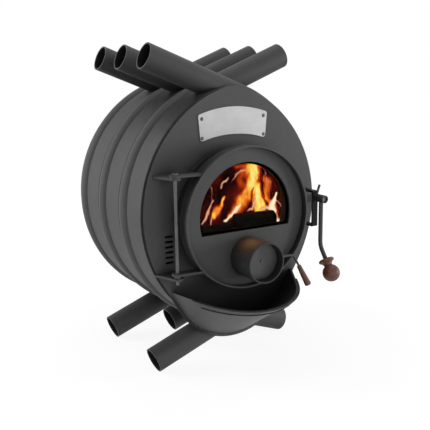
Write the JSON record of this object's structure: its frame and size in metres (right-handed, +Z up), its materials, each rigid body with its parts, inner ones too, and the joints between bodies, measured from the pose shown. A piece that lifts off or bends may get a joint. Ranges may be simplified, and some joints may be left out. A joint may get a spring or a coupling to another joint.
{
  "type": "workshop stove",
  "caption": "Free-standing wood stove with bent air tubes crossing over a pointed drum, a round glazed door, a throttled air pipe, an ash scoop and a rear flue.",
  "frame": {"origin": "on the floor, under the middle of the stove's box", "axes": "+Z up, +X to the right when facing the door, the door faces -Y"},
  "size_m": [0.465, 0.6094, 0.7121],
  "materials": {
    "stove_paint": "matt heat-proof paint",
    "bare_plate": "satin",
    "plain_steel": "oiled",
    "throttle_steel": "matt",
    "firebox_steel": "sooty",
    "turned_wood": "oiled",
    "window_glass": "clear heat-proof ceramic",
    "seal_rope": "braided glass rope"
  },
  "bodies": {
    "stove": {"air_tube_1_left": "stove_paint", "air_tube_2_right": "stove_paint", "air_tube_3_left": "stove_paint", "air_tube_4_right": "stove_paint", "air_tube_5_left": "stove_paint", "air_tube_6_right": "stove_paint", "right_panel_front": "stove_paint", "left_panel_front": "stove_paint", "right_panel_middle": "stove_paint", "left_panel_middle": "stove_paint", "right_panel_rear": "stove_paint", "left_panel_rear": "stove_paint", "front_plate": "stove_paint", "back_plate": "stove_paint", "vent_air_box": "firebox_steel", "door_collar": "stove_paint", "ash_scoop": "stove_paint", "scoop_hem": "stove_paint", "flue_spigot": "stove_paint", "flue_flange": "stove_paint", "smoke_baffle": "firebox_steel", "name_plate": "bare_plate", "name_plate_rivets": "bare_plate", "hinge_bracket_upper": "stove_paint", "hinge_bracket_lower": "stove_paint", "hinge_pin": "plain_steel", "hinge_spacer": "plain_steel", "latch_staple": "stove_paint", "latch_axle": "plain_steel", "latch_nut": "plain_steel"},
    "door": {"door_plate": "stove_paint", "door_rim": "stove_paint", "seal_keeper": "stove_paint", "rope_seal": "seal_rope", "glass_gasket": "seal_rope", "window_glass": "window_glass", "glass_retainer": "stove_paint", "retainer_screws": "plain_steel", "air_pipe": "stove_paint", "air_deflector": "firebox_steel", "hinge_arm_upper": "stove_paint", "hinge_arm_lower": "stove_paint", "latch_lug": "stove_paint"},
    "damper": {"throttle_disc": "throttle_steel", "throttle_rivet": "plain_steel", "damper_spindle": "stove_paint", "spindle_rings": "plain_steel", "damper_grip": "turned_wood"},
    "latch": {"latch_hub": "stove_paint", "latch_finger": "stove_paint", "latch_rod": "stove_paint", "latch_knob": "turned_wood"}
  },
  "joints": [
    {"name": "door_hinge", "type": "hinge", "parent": "stove", "child": "door", "pos_m": [-0.1676, -0.19397, 0.34449], "axis": [0, 0, -1], "range_deg": [0, 135]},
    {"name": "damper_turn", "type": "hinge", "parent": "door", "child": "damper", "pos_m": [0, -0.25197, 0.25849], "axis": [-1, 0, 0], "range_deg": [0, 90]},
    {"name": "latch_turn", "type": "hinge", "parent": "stove", "child": "latch", "pos_m": [0.1935, -0.19427, 0.36549], "axis": [0, -1, 0], "range_deg": [0, 110]}
  ]
}
